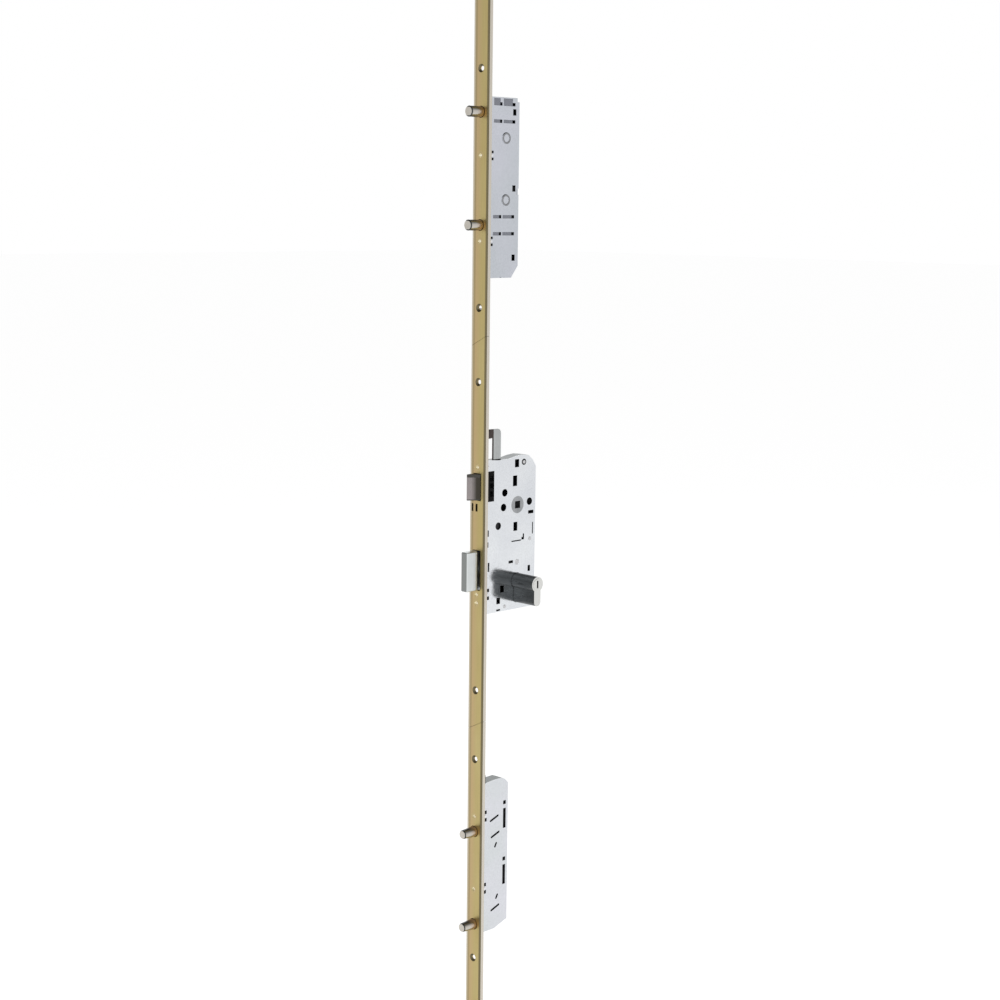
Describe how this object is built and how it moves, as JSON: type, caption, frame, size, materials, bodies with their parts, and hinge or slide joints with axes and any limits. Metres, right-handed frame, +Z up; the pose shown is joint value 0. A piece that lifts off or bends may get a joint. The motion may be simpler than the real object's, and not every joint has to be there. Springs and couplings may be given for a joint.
{
  "type": "multipoint door lock",
  "caption": "Multipoint door lock: jointed faceplate strip with a centre case for latch, deadbolt and profile cylinder, and two outer cases with round locking bolts on drive rods.",
  "frame": {"origin": "on the back of the faceplate's web at mid-width, level with the handle's spindle", "axes": "+X into the door from its edge, +Y to the inner side of the door, +Z up along the faceplate"},
  "size_m": [0.102, 0.0758, 1.175],
  "materials": {
    "faceplate": "brass-coloured satin coating on steel strip",
    "case_steel": "bright zinc-plated sheet, glossy",
    "zinc_steel": "zinc-plated steel",
    "dark_steel": "dark phosphated steel, matt",
    "follower_steel": "sintered steel with a bright face",
    "rivet_steel": "bright plated steel",
    "screw_steel": "brass-plated steel screws",
    "bolt_nickel": "polished nickel-plated steel",
    "black_plastic": "black moulded plastic",
    "cylinder_nickel": "dark satin nickel-plated brass",
    "spring_steel": "bright spring wire",
    "sintered_steel": "sintered steel, matt"
  },
  "bodies": {
    "lock_frame": {"upper_faceplate": "faceplate", "centre_faceplate": "faceplate", "lower_faceplate": "faceplate", "joint_plates": "zinc_steel", "joint_rivets": "rivet_steel", "case_screws": "screw_steel", "upper_case_body": "case_steel", "upper_case_cover": "case_steel", "upper_case_blocks": "rivet_steel", "centre_case_body": "case_steel", "centre_case_cover": "case_steel", "centre_case_blocks": "rivet_steel", "centre_case_posts": "rivet_steel", "lower_case_body": "case_steel", "lower_case_cover": "case_steel", "lower_case_blocks": "rivet_steel", "latch_guide": "black_plastic", "cylinder_body": "cylinder_nickel", "cylinder_screw": "screw_steel", "latch_spring": "spring_steel", "follower_spring": "spring_steel"},
    "drive": {"main_drive_slide": "zinc_steel", "upper_drive_slide": "dark_steel", "lower_drive_slide": "dark_steel", "upper_drive_rod": "dark_steel", "lower_drive_rod": "dark_steel"},
    "upper_high_bolt_group": {"upper_high_bolt": "bolt_nickel", "upper_high_carrier": "dark_steel"},
    "upper_low_bolt_group": {"upper_low_bolt": "bolt_nickel", "upper_low_carrier": "dark_steel"},
    "lower_high_bolt_group": {"lower_high_bolt": "bolt_nickel", "lower_high_carrier": "dark_steel"},
    "lower_low_bolt_group": {"lower_low_bolt": "bolt_nickel", "lower_low_carrier": "dark_steel"},
    "deadbolt_group": {"deadbolt": "bolt_nickel", "deadbolt_tail": "dark_steel"},
    "gear": {"drive_gear": "sintered_steel"},
    "cam": {"cylinder_cam": "sintered_steel"},
    "outer_plug_turn": {"outer_plug": "cylinder_nickel"},
    "inner_plug_turn": {"inner_plug": "cylinder_nickel"},
    "handle_follower": {"follower": "follower_steel"},
    "latch_group": {"latch_bolt": "bolt_nickel", "latch_tail": "dark_steel"}
  },
  "joints": [
    {"name": "drive_slide", "type": "slide", "parent": "lock_frame", "child": "drive", "axis": [0, 0, -1], "range_m": [0, 0.022]},
    {"name": "upper_high_bolt_slide", "type": "slide", "parent": "lock_frame", "child": "upper_high_bolt_group", "axis": [1, 0, 0], "range_m": [0, 0.018]},
    {"name": "upper_low_bolt_slide", "type": "slide", "parent": "lock_frame", "child": "upper_low_bolt_group", "axis": [1, 0, 0], "range_m": [0, 0.018]},
    {"name": "lower_high_bolt_slide", "type": "slide", "parent": "lock_frame", "child": "lower_high_bolt_group", "axis": [1, 0, 0], "range_m": [0, 0.018]},
    {"name": "lower_low_bolt_slide", "type": "slide", "parent": "lock_frame", "child": "lower_low_bolt_group", "axis": [1, 0, 0], "range_m": [0, 0.018]},
    {"name": "deadbolt_slide", "type": "slide", "parent": "lock_frame", "child": "deadbolt_group", "axis": [1, 0, 0], "range_m": [0, 0.019]},
    {"name": "gear_turn", "type": "hinge", "parent": "lock_frame", "child": "gear", "pos_m": [0.052, 0, -0.064], "axis": [0, 1, 0], "range_deg": [-182, 0]},
    {"name": "cam_turn", "type": "hinge", "parent": "lock_frame", "child": "cam", "pos_m": [0.052, 0, -0.085], "axis": [0, 1, 0], "range_deg": [0, 362]},
    {"name": "outer_plug_spin", "type": "hinge", "parent": "lock_frame", "child": "outer_plug_turn", "pos_m": [0.052, 0, -0.085], "axis": [0, 1, 0], "range_deg": [0, 362]},
    {"name": "inner_plug_spin", "type": "hinge", "parent": "lock_frame", "child": "inner_plug_turn", "pos_m": [0.052, 0, -0.085], "axis": [0, 1, 0], "range_deg": [0, 362]},
    {"name": "follower_turn", "type": "hinge", "parent": "lock_frame", "child": "handle_follower", "pos_m": [0.052, 0, 0], "axis": [0, 1, 0], "range_deg": [0, 32], "stiffness_Nm_per_rad": 0.8, "springref_deg": -20.05, "deforming": ["follower_spring"]},
    {"name": "latch_slide", "type": "slide", "parent": "lock_frame", "child": "latch_group", "axis": [1, 0, 0], "range_m": [0, 0.011], "deforming": ["latch_spring"]}
  ],
  "couplings": [
    {"joint": "upper_high_bolt_slide", "follows": "drive_slide", "ratio": 0.81818},
    {"joint": "upper_low_bolt_slide", "follows": "drive_slide", "ratio": 0.81818},
    {"joint": "lower_high_bolt_slide", "follows": "drive_slide", "ratio": 0.81818},
    {"joint": "lower_low_bolt_slide", "follows": "drive_slide", "ratio": 0.81818},
    {"joint": "deadbolt_slide", "follows": "drive_slide", "ratio": 0.86364},
    {"joint": "gear_turn", "follows": "drive_slide", "rad_per_m": -142.86},
    {"joint": "cam_turn", "follows": "drive_slide", "rad_per_m": 285.71},
    {"joint": "outer_plug_spin", "follows": "drive_slide", "rad_per_m": 285.71},
    {"joint": "latch_slide", "follows": "follower_turn", "m_per_rad": 0.01962}
  ]
}
